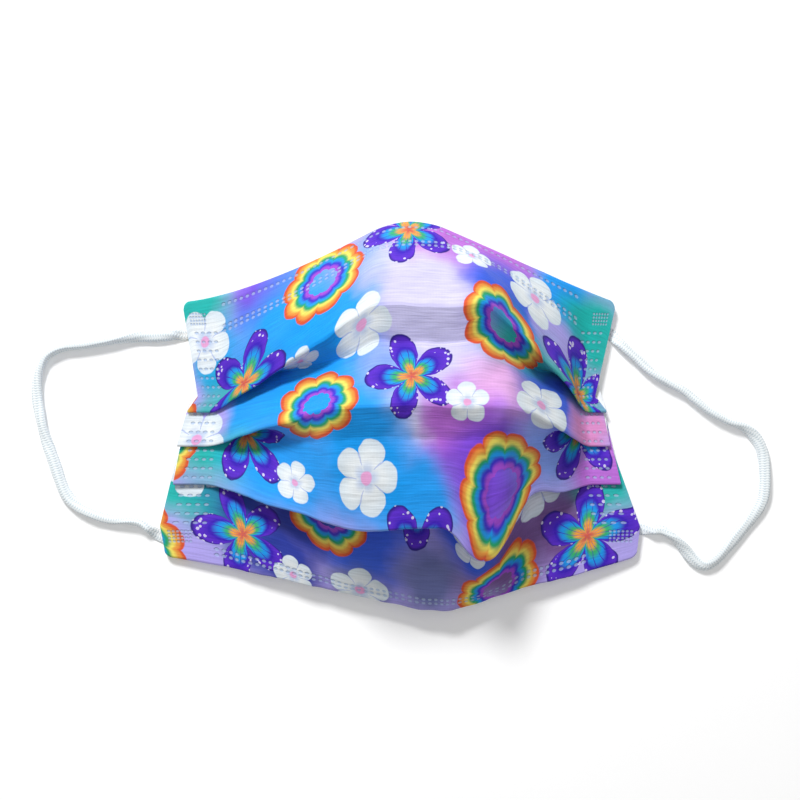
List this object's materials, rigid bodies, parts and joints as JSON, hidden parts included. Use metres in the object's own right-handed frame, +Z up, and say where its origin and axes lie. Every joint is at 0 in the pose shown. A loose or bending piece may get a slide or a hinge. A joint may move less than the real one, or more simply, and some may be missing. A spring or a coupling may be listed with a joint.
{
  "type": "surgical face mask",
  "caption": "Pleated ear-loop surgical face mask lying face up, its pleats opened into a dome, with a nose wire in the top hem and soft elastic loops",
  "frame": {"origin": "on the surface that the mask lies on, under the middle of the pleated body's box, loops left out", "axes": "+X across the mask from the picture's left to its right, +Y to the top edge with the nose wire, +Z up from the surface"},
  "size_m": [0.2622, 0.1354, 0.0465],
  "materials": {
    "printed_nonwoven": "printed spunbond nonwoven, matt, finely creped",
    "white_elastic": "knitted round elastic, matt",
    "coated_wire": "plastic coated steel strip"
  },
  "bodies": {
    "root": {"pleated_body": "printed_nonwoven", "nose_wire": "coated_wire", "ear_loop_left": "white_elastic", "ear_loop_right": "white_elastic", "loop_end_upper_left": "white_elastic", "loop_end_lower_left": "white_elastic", "loop_end_upper_right": "white_elastic", "loop_end_lower_right": "white_elastic"}
  },
  "joints": []
}
